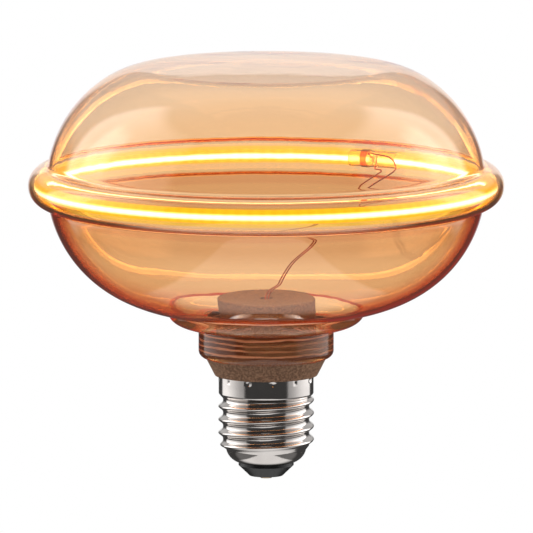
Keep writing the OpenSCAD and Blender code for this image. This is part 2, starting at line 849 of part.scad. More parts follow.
// One point of the shell at the row i and the angle a, inset by the sheet's thickness
function shell_point(i, a, inset) =
    i < cup_rows
        ? let (t = between(cup_from, cup_to, i, cup_rows))
            let (r = cup_c + (cup_r - inset) * cos(t))
            [r * cos(a), r * sin(a), cup_z + (cup_r - inset) * sin(t)]
        : let (z = i == shell_rows ? cap_h
                : between(cup_end_z, skirt_z, i - cup_rows, thread_rows))
            let (r = plain_r(z) + crest(a, z) - inset)
            [r * cos(a), r * sin(a), z];

module screw_shell() {
    n = shell_sides;
    skin = (shell_rows + 1) * n;
    points = [
        for (inset = [0, shell_t], i = [0:shell_rows], k = [0:n - 1])
            shell_point(i, 360 * k / n, inset)
    ];
    walls = [
        for (i = [0:shell_rows - 1], k = [0:n - 1])
            let (a = i * n + k, b = i * n + (k + 1) % n)
            each [
                [a, a + n, b], [b, a + n, b + n],
                [skin + a, skin + b, skin + a + n], [skin + b, skin + b + n, skin + a + n]
            ]
    ];
    top = shell_rows * n;
    edges = [
        for (k = [0:n - 1])
            let (j = (k + 1) % n)
            each [
                [k, j, skin + k], [j, skin + j, skin + k],
                [top + k, skin + top + k, top + j], [top + j, skin + top + k, skin + top + j]
            ]
    ];
    color(nickel_colour) polyhedron(points, concat(walls, edges));
}

// Black insulator: a cone below the shell and a dish that fills the shell's lower end
module insulator() {
    cup_in_r = cup_r - shell_t - slide_gap;
    collar_r = mouth_d / 2 + 0.3;
    mouth_in_z = cup_z - sqrt(pow(cup_in_r, 2) - pow(collar_r - cup_c, 2));
    color([0.08, 0.08, 0.09])
        rotate_extrude($fn = fine) polygon(concat(
            [[pin_r, contact_t], [nose_d / 2 - 0.5, contact_t], [nose_d / 2, contact_t + 0.5],
             [mouth_d / 2 - 0.15, mouth_z - 0.9], [mouth_d / 2 - 0.15, mouth_in_z]],
            arc([cup_c, cup_z], cup_in_r, -acos((collar_r - cup_c) / cup_in_r), cup_to, 8),
            [[cup_c + cup_in_r * cos(cup_to), core_z], [7, core_z], [6, core_z - 2.4],
             [3, core_z - 2.4], [2.4, core_z], [pin_r, core_z]]
        ));
}

module centre_contact() {
    r = contact_d / 2;
    color("darkgoldenrod")
        rotate_extrude($fn = mid) polygon([
            [0, 0], [r - 0.3, 0], [r, 0.3], [r, contact_t],
            [pin_r, contact_t], [pin_r, pin_top_z - 0.2], [pin_r - 0.2, pin_top_z],
            [0, pin_top_z]
        ]);
}

glass_envelope();
filament_coat();
filament_strip();
led_chips();
start_terminal();
end_terminal();
joint_sleeve();
joint_band();
start_lead();
end_lead();
base_housing();
housing_lid();
neck_adhesive();
driver_board();
filter_capacitor();
capacitor_seal();
capacitor_legs();
inductor_core();
inductor_winding();
bridge_rectifier();
driver_chip();
sense_resistors();
ceramic_capacitors();
fusible_resistor();
resistor_wire();
live_wire();
neutral_wire();
screw_shell();
insulator();
centre_contact();
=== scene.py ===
import json
import math

import bpy
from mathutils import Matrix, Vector, noise


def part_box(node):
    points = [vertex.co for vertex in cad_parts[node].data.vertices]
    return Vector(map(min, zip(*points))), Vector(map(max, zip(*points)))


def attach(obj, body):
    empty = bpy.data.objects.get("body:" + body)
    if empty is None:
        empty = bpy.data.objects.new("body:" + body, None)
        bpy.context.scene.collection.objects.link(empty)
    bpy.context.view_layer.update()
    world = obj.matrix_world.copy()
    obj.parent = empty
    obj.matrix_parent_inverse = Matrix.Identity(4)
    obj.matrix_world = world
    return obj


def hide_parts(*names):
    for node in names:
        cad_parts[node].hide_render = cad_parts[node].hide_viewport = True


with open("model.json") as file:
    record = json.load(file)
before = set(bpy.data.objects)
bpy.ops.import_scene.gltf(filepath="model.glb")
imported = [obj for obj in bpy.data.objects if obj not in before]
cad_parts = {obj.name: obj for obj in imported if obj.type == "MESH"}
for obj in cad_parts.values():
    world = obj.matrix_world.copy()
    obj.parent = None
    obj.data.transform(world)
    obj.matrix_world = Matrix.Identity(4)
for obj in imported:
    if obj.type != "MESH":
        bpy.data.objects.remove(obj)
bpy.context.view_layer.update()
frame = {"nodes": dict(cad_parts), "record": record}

NODES = frame["nodes"]
MM = 0.001

# Sizes in millimetres, first what the frame gives
GLASS_LOW, GLASS_HIGH = (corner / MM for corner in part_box("glass_envelope"))
COAT_LOW, COAT_HIGH = (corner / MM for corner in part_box("filament_coat"))
RIM_Z = (COAT_LOW.z + COAT_HIGH.z) / 2
COAT_R = (COAT_HIGH.z - COAT_LOW.z) / 2
TOP_Z = GLASS_HIGH.z
LIP_Z = GLASS_LOW.z
CAP_TOP = (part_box("screw_shell")[1] / MM).z

# Glass envelope
BEAD_OUT = 5
BEAD_R = 5.3
CREASE_R = 0.8
GLASS_WALL = 1
BOWL_H = 36.4
SHOULDER_R = 26.8
SHOULDER_H = 4.3
NECK_R = 18.5
NECK_H = 8.2
NECK_WALL = 1.5
LIP_R = 2.2
RIM_R = 65
BODY_R = RIM_R - BEAD_OUT
BEAD_C = RIM_R - BEAD_R
BEAD_IN_R = BEAD_R - GLASS_WALL
DOME_H = TOP_Z - RIM_Z
DOME_SIDE_R = 34.3
CROWN_CURVE = 560
CROWN_BLEND = 24
CROWN_CUT = 0.8
BOWL_SHAPE = (3.24, 1.845)
CREASE_H = BEAD_R + CREASE_R

# How far the glass's inside wanders: all over, in the bowl and near its foot, and over what length
WANDER = 0.03
WANDER_BOWL = 0.1
WANDER_FOOT = 0.15
WANDER_LENGTH = 26
# Facets round its axis
GLASS_SIDES = 240

# The amber glass: what its body takes out over a given path, in parts per metre
TINT = (0.94, 0.62, 0.2)
TINT_DENSITY = 320
# Painted glow in the glass body, in place of the filament's light that the glass guides to its edges, per
# metre of glass
PAINTED_GLASS_GLOW = (1, 0.25, 0.05)
PAINTED_GLASS_GLOW_POWER = 22
# Its film: paler on the dome's flanks, a painted sheen for the side softboxes' reflection, and deeper on the
# bowl's, where the glass turns away
FILM = (0.975, 0.86, 0.72)
FLANK_PAINTED_SHEEN = (1.0, 0.99, 0.97)
FLANK_DEEP = (0.91, 0.73, 0.5)
EDGE_PINK = (0.98, 0.84, 0.74)
EDGE_RED = (0.95, 0.12, 0.03)
# Bands of the film, in mm above the rim: low end, its soft edge, high end, its soft edge, and the colour. The
# second is a painted shade along the lower crease under the rim.
FILM_AND_PAINTED_SHADE_BANDS = [
    (-17, 8, -5, 2, (0.79, 0.575, 0.38)),
    # Painted shade along the lower crease under the rim
    (-8, 1, -4.5, 1, (0.76, 0.5, 0.33)),
    (5, 1, 15, 7, (0.98, 0.85, 0.68)),
    (-5.5, 1, 4.5, 2, (0.88, 0.76, 0.56)),
]
# In the bead, yellower beside the filament, a painted glow of its light: from and to in mm off mid height,
# and the colour within
BEAD_PAINTED_GLOW_BANDS = [
    (2.2, 2.8, (0.99, 0.82, 0.2)),
    (0.5, 1.2, (0.99, 0.85, 0.65)),
]
# Ribs and glue that press on the neck's inside: the pale rib crests are a painted highlight and the dark gaps
# between them a painted shade
RIB_PITCH = 1.5
RIB_WANDER = 0.0011
RIB_CREST_PAINTED_HIGHLIGHT = (1.0, 0.74, 0.75)
RIB_GAP_PAINTED_SHADE = (0.1, 0.055, 0.05)
GLUE_BROWN = (0.1, 0.05, 0.03)

# Filament
SLEEVE_GAP = 0.05
SLEEVE_WALL = 0.35
BAND_GAP = 0.05
BAND_WALL = 0.2
GLASS_GAP = 0.05
BAND_R = COAT_R + SLEEVE_GAP + SLEEVE_WALL + BAND_GAP + BAND_WALL
RING_R = BEAD_C + BEAD_IN_R - GLASS_GAP - BAND_R
JOINT_ANGLE = 60.3
END_GAP = 3.4
CHIP_PITCH = 3.2
# Its glow at mid height, above and below that, and in reflections
GLOW_CORE = (1.0, 0.86, 0.84)
GLOW_RIM = (1.0, 0.58, 0.07)
GLOW_MIRRORED = (1.0, 0.5, 0.14)
# How much more of its light falls on its surroundings and shows in reflections than shows in direct sight
CAST_GAIN = 9
MIRROR_GAIN = 3

# Screw shell
THREAD_R = 13.1
THREAD_DEPTH = 1.3
THREAD_PITCH = 3.629
CREST_WIDTH = 1.6
THREAD_PHASE = 0.02
SKIRT_R = 13
SKIRT_H = 4.8
SHELL_T = 0.3
MOUTH_R = 7.7
ROOT_R = THREAD_R - THREAD_DEPTH
CUP_R = 4.7
CUP_C = ROOT_R - 5.45
CUP_Z = CAP_TOP - 19.5
CUP_FROM = -math.degrees(math.acos((MOUTH_R - CUP_C) / CUP_R))
CUP_TO = -16
CUP_END_R = CUP_C + CUP_R * math.cos(math.radians(CUP_TO))
CUP_END_Z = CUP_Z + CUP_R * math.sin(math.radians(CUP_TO))
FLARE_H = 1.6
ROOT_Z = CUP_END_Z + FLARE_H
SKIRT_Z = CAP_TOP - SKIRT_H
FLARE_Z = SKIRT_Z - FLARE_H
SHELL_SIDES = 180
# Crimps round the skirt: a narrow dash, then two round dimples, and so on
CRIMP_Z = CAP_TOP - 0.95
CRIMP_DEPTH = 0.3
CRIMPS = 12
CRIMP_START = math.radians(-142)
CRIMP_STEP = math.radians(30)
DIMPLE_R = 0.72
DASH_HALF = (0.3, 0.9)
DASH_UP = 0.2

# Light levels of the studio, where 1 is white
BACKDROP = 0.92
SOFTBOX = 1.6
LAMP_FACE = 1.5
HIGH_BEHIND = 0.6
OVERHEAD = 0.45
GROUND = 0.2
GAP_DARK = 0.06
GAP_GREY = 0.24
FLOOR_Z = -0.35
FLOOR_SIZE = 30


def camera():
    """A long lens at the photograph's height, aimed so that the lamp fills the same part of the frame."""
    elevation = math.radians(8.3)
    distance = 5
    frame_width = 0.1455
    aim = Vector((0.0001, 0, 0.05833))
    data = bpy.data.cameras.new("camera")
    data.sensor_width = 36
    data.lens = data.sensor_width * distance / frame_width
    data.clip_end = 100
    body = bpy.data.objects.new("camera", data)
    back = Vector((0, -math.cos(elevation), math.sin(elevation)))
    body.location = aim + back * distance
    body.rotation_mode = "QUATERNION"
    body.rotation_quaternion = (-back).to_track_quat("-Z", "Y")
    bpy.context.scene.collection.objects.link(body)
    bpy.context.scene.camera = body


class Tree:
    """Builds a shader node tree by short calls."""

    def __init__(self, tree):
        self.tree = tree
        tree.nodes.clear()

    def node(self, kind, inputs=None, **settings):
        made = self.tree.nodes.new("ShaderNode" + kind)
        for key, value in settings.items():
            setattr(made, key, value)
        for key, value in (inputs or {}).items():
            self.put(made.inputs[key], value)
        return made

    def put(self, socket, value):
        if isinstance(value, bpy.types.NodeSocket):
            self.tree.links.new(value, socket)
        elif isinstance(value, (tuple, list)) and len(value) == 3 and socket.type == "RGBA":
            socket.default_value = (*value, 1)
        else:
            socket.default_value = value

    def math(self, operation, *values):
        made = self.node("Math", operation=operation)
        for i, value in enumerate(values):
            self.put(made.inputs[i], value)
        return made.outputs[0]

    def step(self, value, low, high, start=0.0, end=1.0):
        """Smooth step: start at low and below, end at high and above."""
        made = self.node("MapRange", {"Value": value, "From Min": low, "From Max": high,
                                      "To Min": start, "To Max": end}, interpolation_type="SMOOTHSTEP")
        return made.outputs["Result"]

    def mix(self, share, a, b):
        made = self.node("Mix", data_type="RGBA")
        self.put(made.inputs["Factor"], share)
        self.put(made.inputs[6], a)
        self.put(made.inputs[7], b)
        return made.outputs[2]

    def axes(self, vector):
        made = self.node("SeparateXYZ", {"Vector": vector})
        return made.outputs

    def place(self):
        return self.node("TexCoord").outputs["Object"]

    def noise(self, scale, detail, vector=None, roughness=0.5):
        made = self.node("TexNoise", {"Scale": scale, "Detail": detail, "Roughness": roughness,
                                      "Vector": vector or self.place()})
        return made.outputs["Fac"]

    def stretched(self, x, y, z):
        made = self.node("VectorMath", operation="MULTIPLY")
        self.put(made.inputs[0], self.place())
        self.put(made.inputs[1], (x, y, z))
        return made.outputs[0]

    def bump(self, height, distance):
        made = self.node("Bump", {"Height": height, "Distance": distance, "Strength": 1.0})
        return made.outputs["Normal"]

    def out(self, kind, **links):
        end = self.node("Output" + kind)
        for key, socket in links.items():
            self.put(end.inputs[key], socket)


def between_steps(t, value, low, rise, high, fall):
    """1 from low to high, with soft edges as wide as rise and fall."""
    return t.math("MULTIPLY", t.step(value, low, low + rise), t.step(value, high - fall, high, 1.0, 0.0))


def new_look(name):
    """A material and its empty tree."""
    material = bpy.data.materials.new(name)
    material.use_nodes = True
    return material, Tree(material.node_tree)


def principled(tree, **inputs):
    names = {key.replace("_", " "): value for key, value in inputs.items()}
    return tree.node("BsdfPrincipled", names).outputs["BSDF"]


def film_and_painted_light_colour(t):
    """Colour of the film by height above the rim and by how far the glass turns away, with a painted sheen on
    the dome's flanks, a painted shade at the lower crease and a painted glow in the bead beside the filament.
    """
    z = t.axes(t.place())[2]
    height = t.math("MULTIPLY_ADD", z, 1 / MM, -RIM_Z)
    bowl = t.step(height, -4.5, -2, 1.0, 0.0)
    facing = t.node("LayerWeight", {"Blend": 0.5}).outputs["Facing"]
    # The dome's flanks turn pale where the glass turns away: a painted sheen for the softboxes' reflection
    film = t.mix(t.step(facing, 0.15, 0.45), FILM, t.mix(bowl, FLANK_PAINTED_SHEEN, FLANK_DEEP))
    # Film bands, one of them a painted shade at the lower crease
    for low, rise, high, fall, colour in FILM_AND_PAINTED_SHADE_BANDS:
        film = t.mix(between_steps(t, height, low, rise, high, fall), film, colour)
    off = t.math("ABSOLUTE", height)
    # Painted glow of the filament's light in the bead beside it
    for near, far, colour in BEAD_PAINTED_GLOW_BANDS:
        film = t.mix(t.step(off, near, far, 1.0, 0.0), film, colour)
    # Edges are deep all over the bowl, and faint on the dome and its crease
    edge = t.math("MULTIPLY", t.step(facing, 0.62, 0.88), t.step(height, 6, 18, 1.0, 0.2))
    crease = between_steps(t, height, 3.5, 1, 9, 3)
    edge = t.math("MULTIPLY", edge, t.math("MULTIPLY_ADD", crease, -0.8, 1.0))
    return t.mix(edge, film, t.mix(bowl, EDGE_PINK, EDGE_RED))


def amber_glass():
    """Glass tinted through its body and by a film, with a painted glow of the filament's light in its body.
    """
    material, t = new_look("amber_glass")
    colour = film_and_painted_light_colour(t)
    waves = t.noise(70, 2, t.stretched(1, 1, 0.6))
    surface = principled(t, Base_Color=colour, Roughness=0.0, IOR=1.5, Transmission_Weight=1.0,
                         Normal=t.bump(waves, 0.00006))
    body = t.node("VolumeAbsorption", {"Color": TINT, "Density": TINT_DENSITY}).outputs[0]
    # Painted glow: the glass body gives off a little light of its own, in place of the filament's light piped
    # to its edges
    painted_glow = t.node("Emission", {"Color": PAINTED_GLASS_GLOW, "Strength": PAINTED_GLASS_GLOW_POWER}).outputs[0]
    both = t.node("AddShader")
    t.put(both.inputs[0], body)
    t.put(both.inputs[1], painted_glow)
    t.out("Material", Surface=surface, Volume=both.outputs[0])
    return material


def glued_glass():
    """The neck's inside where the ribs of the seat and the glue lie on the glass: pale and brown rings, the
    pale ones a painted highlight on the rib crests and the dark ones a painted shade between them.
    """
    material, t = new_look("glued_glass")
    z = t.axes(t.place())[2]
    uneven = t.noise(130, 3, t.stretched(1, 1, 3))
    rings = t.math("MULTIPLY_ADD", uneven, RIB_WANDER, z)
    rings = t.math("MULTIPLY", rings, 2 * math.pi / RIB_PITCH / MM)
    crests_and_painted_highlight = t.step(t.math("SINE", rings), -0.2, 0.95)
    fine = t.noise(500, 4, t.stretched(0.3, 0.3, 8))
    # Rings of painted highlight on the rib crests and painted shade between them; the same crests also make
    # the bump
    tone = t.mix(crests_and_painted_highlight, RIB_GAP_PAINTED_SHADE, RIB_CREST_PAINTED_HIGHLIGHT)
    tone = t.mix(t.step(fine, 0.4, 0.75, 0.0, 0.6), tone, GLUE_BROWN)
    surface = principled(t, Base_Color=tone, Roughness=0.35, Specular_IOR_Level=0.25,
                         Normal=t.bump(crests_and_painted_highlight, 0.0003))
    t.out("Material", Surface=surface)
    return material


def clear_glue():
    """Set silicone, clear and a little uneven."""
    material, t = new_look("clear_glue")
    surface = principled(t, Base_Color=(1, 0.94, 0.85), Roughness=0.25, IOR=1.41,
                         Transmission_Weight=0.85,
                         Normal=t.bump(t.noise(900, 2), 0.00005))
    t.out("Material", Surface=surface)
    return material


def phosphor_silicone():
    """Lit coat: white where the chips shine out at mid height, yellow towards its upper and lower edges."""
    material, t = new_look("phosphor_silicone")
    x, y, z = t.axes(t.place())
    height = t.math("ABSOLUTE", t.math("DIVIDE", t.math("SUBTRACT", z, RIM_Z * MM), COAT_R * MM))
    turns = t.math("MULTIPLY", t.math("ARCTAN2", y, x), RING_R / CHIP_PITCH)
    ripple = t.math("MULTIPLY_ADD", t.math("COSINE", t.math("MULTIPLY", turns, 2 * math.pi)), 0.06, 0.94)
    core = t.step(height, 0.1, 0.6, 1.0, 0.0)
    colour = t.mix(core, GLOW_RIM, GLOW_CORE)
    power = t.math("MULTIPLY", t.math("MULTIPLY_ADD", core, 1.75, 1.15), ripple)
    path = t.node("LightPath").outputs
    seen = t.math("MAXIMUM", path["Is Camera Ray"], path["Is Transmission Ray"])
    mirrored = t.math("MULTIPLY", path["Is Glossy Ray"], t.math("SUBTRACT", 1.0, seen))
    colour = t.mix(mirrored, colour, GLOW_MIRRORED)
    gain = t.math("MULTIPLY_ADD", seen, 1 - CAST_GAIN, CAST_GAIN)
    gain = t.math("MULTIPLY_ADD", mirrored, MIRROR_GAIN - CAST_GAIN, gain)
    power = t.math("MULTIPLY", power, gain)
    surface = principled(t, Base_Color=(0.9, 0.55, 0.08), Roughness=0.45, IOR=1.41,
                         Emission_Color=colour, Emission_Strength=power)
    t.out("Material", Surface=surface)
    return material


def led_chip():
    """Glossy chip, lit."""
    material, t = new_look("led_chip")
    surface = principled(t, Base_Color=(0.9, 0.85, 0.6), Roughness=0.2,
                         Emission_Color=(1, 0.85, 0.5), Emission_Strength=4.0)
    t.out("Material", Surface=surface)
    return material


def metal(name, colour, dark, roughness, grain, depth):
    """Bare metal: its tone and gloss vary in soft patches, over a fine bump."""
    material, t = new_look(name)
    patches = t.noise(160, 4)
    fine = t.noise(grain, 5)
    tone = t.mix(t.step(patches, 0.35, 0.7), dark, colour)
    gloss = t.math("MULTIPLY_ADD", patches, roughness * 0.8, roughness * 0.6)
    surface = principled(t, Base_Color=tone, Metallic=1.0, Roughness=gloss,
                         Normal=t.bump(fine, depth))
    t.out("Material", Surface=surface)
    return material


def plastic(name, colour, dark, roughness, grain, depth, coat=0.0):
    """Moulded plastic, lacquer or ceramic with a fine grain."""
    material, t = new_look(name)
    patches = t.noise(220, 3)
    fine = t.noise(grain, 6, roughness=0.65)
    tone = t.mix(t.step(patches, 0.3, 0.75), dark, colour)
    tone = t.mix(t.step(fine, 0.45, 0.8, 0.0, 0.35), tone, dark)
    gloss = t.math("MULTIPLY_ADD", fine, 0.2, roughness - 0.1)
    surface = principled(t, Base_Color=tone, Roughness=gloss, Coat_Weight=coat,
                         Normal=t.bump(fine, depth))
    t.out("Material", Surface=surface)
    return material


def taupe_plastic():
    """Matt moulding compound, speckled all over in two browns and slightly rough to the touch."""
    material, t = new_look("taupe_plastic")
    speckle = t.noise(1700, 4, roughness=0.7)
    tone = t.mix(t.step(speckle, 0.36, 0.66), (0.125, 0.06, 0.03), (0.36, 0.19, 0.105))
    tone = t.mix(t.step(t.noise(90, 2), 0.4, 0.8, 0.0, 0.25), tone, (0.16, 0.1, 0.06))
    gloss = t.math("MULTIPLY_ADD", speckle, 0.2, 0.5)
    surface = principled(t, Base_Color=tone, Roughness=gloss, Specular_IOR_Level=0.3,
                         Normal=t.bump(speckle, 0.0001))
    t.out("Material", Surface=surface)
    return material


def clear_plastic(name, colour, roughness):
    """Tinted clear plastic with a slightly uneven surface."""
    material, t = new_look(name)
    surface = principled(t, Base_Color=colour, Roughness=roughness, IOR=1.45,
                         Transmission_Weight=0.8, Normal=t.bump(t.noise(700, 3), 0.00004))
    t.out("Material", Surface=surface)
    return material


# Bare metals: colour, darker patches, roughness, and the scale and depth of the grain
METALS = {
    "filament_strip": ((0.8, 0.5, 0.25), (0.6, 0.35, 0.15), 0.3, 2500, 0.00001),
    "filament_terminal": ((0.75, 0.73, 0.7), (0.5, 0.48, 0.45), 0.3, 2500, 0.00001),
    "copper_wire": ((0.6, 0.16, 0.08), (0.42, 0.09, 0.045), 0.3, 3000, 0.00001),
    "tinned_wire": ((0.75, 0.75, 0.76), (0.5, 0.5, 0.52), 0.25, 2600, 0.00001),
    "enamelled_copper": ((0.6, 0.2, 0.08), (0.4, 0.11, 0.04), 0.22, 2600, 0.00002),
    "nickel": ((0.69, 0.65, 0.62), (0.61, 0.57, 0.545), 0.1, 2400, 0.000008),
    "contact_brass": ((0.5, 0.4, 0.28), (0.3, 0.22, 0.14), 0.35, 2400, 0.00002),
}
# Plastics, lacquers and ceramics: the same, and some have a clear coat
PLASTICS = {
    "circuit_board": ((0.02, 0.12, 0.05), (0.01, 0.07, 0.03), 0.4, 3000, 0.00002, 0.6),
    "capacitor_film": ((0.02, 0.025, 0.07), (0.01, 0.01, 0.03), 0.3, 1800, 0.00002, 0.4),
    "capacitor_seal": ((0.02, 0.02, 0.02), (0.01, 0.01, 0.01), 0.8, 2200, 0.00005),
    "ferrite": ((0.05, 0.05, 0.055), (0.03, 0.03, 0.03), 0.7, 2600, 0.00005),
    "black_moulding": ((0.02, 0.02, 0.02), (0.01, 0.01, 0.01), 0.6, 3200, 0.00003),
    "black_chip": ((0.03, 0.03, 0.03), (0.015, 0.015, 0.015), 0.35, 3200, 0.00002),
    "tan_chip": ((0.4, 0.27, 0.15), (0.3, 0.19, 0.1), 0.5, 3200, 0.00002),
    "resistor_lacquer": ((0.06, 0.14, 0.09), (0.03, 0.09, 0.05), 0.3, 2200, 0.00003, 0.5),
    "black_insulator": ((0.007, 0.007, 0.008), (0.004, 0.004, 0.004), 0.35, 2400, 0.00003),
}
CLEAR_PLASTICS = {
    "clear_sleeve": ((1, 0.86, 0.5), 0.12),
    "amber_band": ((0.85, 0.33, 0.05), 0.15),
}
LOOKS = {
    "amber_glass": amber_glass(),
    "phosphor_silicone": phosphor_silicone(),
    "led_chip": led_chip(),
    "taupe_plastic": taupe_plastic(),
    "clear_glue": clear_glue(),
}
LOOKS.update({name: metal(name, *values) for name, values in METALS.items()})
LOOKS.update({name: plastic(name, *values) for name, values in PLASTICS.items()})
LOOKS.update({name: clear_plastic(name, *values) for name, values in CLEAR_PLASTICS.items()})


def dress_nodes():
    """Every CAD node takes the look of its slot in the record."""
    for part in frame["record"]["subparts"]:
        node = NODES[part["node"]]
        node.data.materials.clear()
        node.data.materials.append(LOOKS[part["material_slot"]])
        node.data.shade_smooth()
        node.data.set_sharp_from_angle(angle=math.radians(35))


def revolve(name, profile, sides, wobble):
    """A mesh swept round the Z axis from points [r, z] in mm, moved by wobble. On the axis they are poles."""
    points, rings = [], []
    for i, (r, z) in enumerate(profile):
        if r < 1e-6:
            rings.append([len(points)])
            points.append((0, 0, z * MM))
            continue
        rings.append(list(range(len(points), len(points) + sides)))
        for k in range(sides):
            a = 2 * math.pi * k / sides
            dr, dz = wobble(i, a)
            points.append(((r + dr) * math.cos(a) * MM, (r + dr) * math.sin(a) * MM, (z + dz) * MM))
    faces = []
    for lower, upper in zip(rings, rings[1:]):
        for k in range(sides):
            j = (k + 1) % sides
            if len(lower) == 1:
                faces.append((lower[0], upper[k], upper[j]))
            elif len(upper) == 1:
                faces.append((lower[j], lower[k], upper[0]))
            else:
                faces.append((lower[j], lower[k], upper[k], upper[j]))
    return piece(name, points, faces)


def piece(name, points, faces, sharp=40):
    mesh = bpy.data.meshes.new(name)
    mesh.from_pydata(points, [], faces)
    mesh.validate()
    made = bpy.data.objects.new(name, mesh)
    bpy.context.scene.collection.objects.link(made)
    mesh.shade_smooth()
    mesh.set_sharp_from_angle(angle=math.radians(sharp))
    return made


def dressed(made, slot, node):
    """The piece takes its slot's look, rides on the lamp and hides the node that it replaces."""
    made.data.materials.append(LOOKS[slot])
    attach(made, "root")
    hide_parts(node)
    return made


def oval(t, radius, height, shape):
    """A point of a quarter of a superellipse. t runs from 0 at its side to a right angle at its end."""
    n, m = shape
    return (radius * max(math.cos(t), 0) ** (2 / n), height * max(math.sin(t), 0) ** (2 / m))


def angle_at_h(h, height, shape):
    return math.asin((h / height) ** (shape[1] / 2))


def angle_at_r(r, radius, shape):
    return math.acos((r / radius) ** (shape[0] / 2))


def between(a, b, count):
    return [a + (b - a) * i / count for i in range(count + 1)]


def arc(c, r, start, end, count):
    """Points on an arc about c, from one angle to another in degrees."""
    return [(c[0] + r * math.cos(math.radians(a)), c[1] + r * math.sin(math.radians(a)))
            for a in between(start, end, count)]


def meet(a, ra, b, rb):
    """Where two circles meet, on the side away from the axis when b is below a."""
    across = Vector(b) - Vector(a)
    d = across.length
    across /= d
    x = (d * d + ra * ra - rb * rb) / (2 * d)
    return Vector(a) + x * across + math.sqrt(ra * ra - x * x) * Vector((-across.y, across.x))


def bearing(v):
    return math.degrees(math.atan2(v.y, v.x))


def dome_curve(inset):
    """The dome from its upper crease to the axis: a round side, a blend and a shallow crown."""
    stretch = DOME_H / (DOME_SIDE_R - CROWN_CUT)
    side = Vector((BODY_R - DOME_SIDE_R, 0))
    crown = Vector((0, DOME_SIDE_R - CROWN_CUT - CROWN_CURVE))
    blend = meet(side, DOME_SIDE_R - CROWN_BLEND, crown, CROWN_CURVE - CROWN_BLEND)
    side_start = math.degrees(math.asin(CREASE_H / stretch / (DOME_SIDE_R - inset)))
    side_end = bearing(blend - side)
    crown_start = bearing(blend - crown)
    points = arc(side, DOME_SIDE_R - inset, side_start, side_end, 40)
    points += arc(blend, CROWN_BLEND - inset, side_end, crown_start, 10)[1:-1]
    points += arc(crown, CROWN_CURVE - inset, crown_start, 90, 14)
    top = (0, RIM_Z + DOME_H - inset * stretch)
    return [(max(r, 0), RIM_Z + stretch * h) for r, h in points[:-1]] + [top]


def bowl_curve(inset, radius):
    """The bowl from its lower crease to the radius given."""
    body, depth = BODY_R - inset, BOWL_H - inset
    turn = (angle_at_h(CREASE_H, depth, BOWL_SHAPE), angle_at_r(radius, body, BOWL_SHAPE))
    return [(r, RIM_Z - h) for r, h in (oval(t, body, depth, BOWL_SHAPE) for t in between(*turn, 46))]


def bead_curve(inset):
    """The bead with a crease above and below it."""
    top = (dome_curve(0)[0][0] + CREASE_R, RIM_Z + CREASE_H)
    low = (bowl_curve(0, SHOULDER_R)[0][0] + CREASE_R, RIM_Z - CREASE_H)
    r = BEAD_R - inset
    return (arc(top, CREASE_R + inset, 186, 264, 9)
            + arc((BEAD_C, RIM_Z), r, math.degrees(math.acos((top[0] - BEAD_C) / r)),
                  -math.degrees(math.acos((low[0] - BEAD_C) / r)), 42)
            + arc(low, CREASE_R + inset, 96, 174, 9))


def envelope_profile():
    """The glass in section: down the outside from the dome's top, and back up the inside."""
    in_shoulder_r = SHOULDER_R - GLASS_WALL
    in_neck_r = NECK_R - NECK_WALL
    shoulder_z = bowl_curve(0, SHOULDER_R)[-1][1]
    in_shoulder_z = bowl_curve(GLASS_WALL, in_shoulder_r)[-1][1]
    lip = (NECK_R - LIP_R, LIP_Z + LIP_R)
    outside = dome_curve(0)[::-1] + bead_curve(0) + bowl_curve(0, SHOULDER_R)
    outside += shoulder(NECK_R, shoulder_z, SHOULDER_R - NECK_R, SHOULDER_H, 8, 90)
    outside += arc(lip, LIP_R, 0, -90, 8)
    inside = arc(lip, LIP_R - NECK_WALL, -90, 0, 6)
    inside += shoulder(in_neck_r, in_shoulder_z, in_shoulder_r - in_neck_r,
                       in_shoulder_z - LIP_Z - NECK_H - 0.4, 90, 8)
    inside += bowl_curve(GLASS_WALL, in_shoulder_r)[::-1] + bead_curve(GLASS_WALL)[::-1]
    inside += dome_curve(GLASS_WALL)
    return outside, inside


def shoulder(r, z, a, b, start, end):
    """Quarter of an ellipse from the bowl down to the neck."""
    return [(r + a * math.cos(math.radians(t)), z - b * math.sin(math.radians(t)))
            for t in between(start, end, 12)]


def glass():
    """The envelope. Its inside wanders by up to a tenth or two of a millimetre, as blown glass does."""
    outside, inside = envelope_profile()
    first_inside = len(outside)
    profile = outside + inside

    def wander(i, a):
        r, z = profile[i]
        if i < first_inside or z < LIP_Z + NECK_H:
            return 0, 0
        ripple = WANDER + WANDER_BOWL * ease(4, 12, RIM_Z - z) + WANDER_FOOT * ease(22, 32, RIM_Z - z)
        at = Vector((r * math.cos(a), r * math.sin(a), 0.6 * z)) / WANDER_LENGTH
        return ripple * noise.noise(at), ripple * noise.noise(at + Vector((40, 0, 0)))

    made = dressed(revolve("glass_bulb", profile, GLASS_SIDES, wander), "amber_glass", "glass_envelope")
    made.data.materials.append(glued_glass())
    for face in made.data.polygons:
        ring = (face.vertices[0] - 1) // GLASS_SIDES + 1
        if ring >= first_inside and LIP_Z + 0.8 < profile[ring][1] < LIP_Z + NECK_H:
            face.material_index = 1


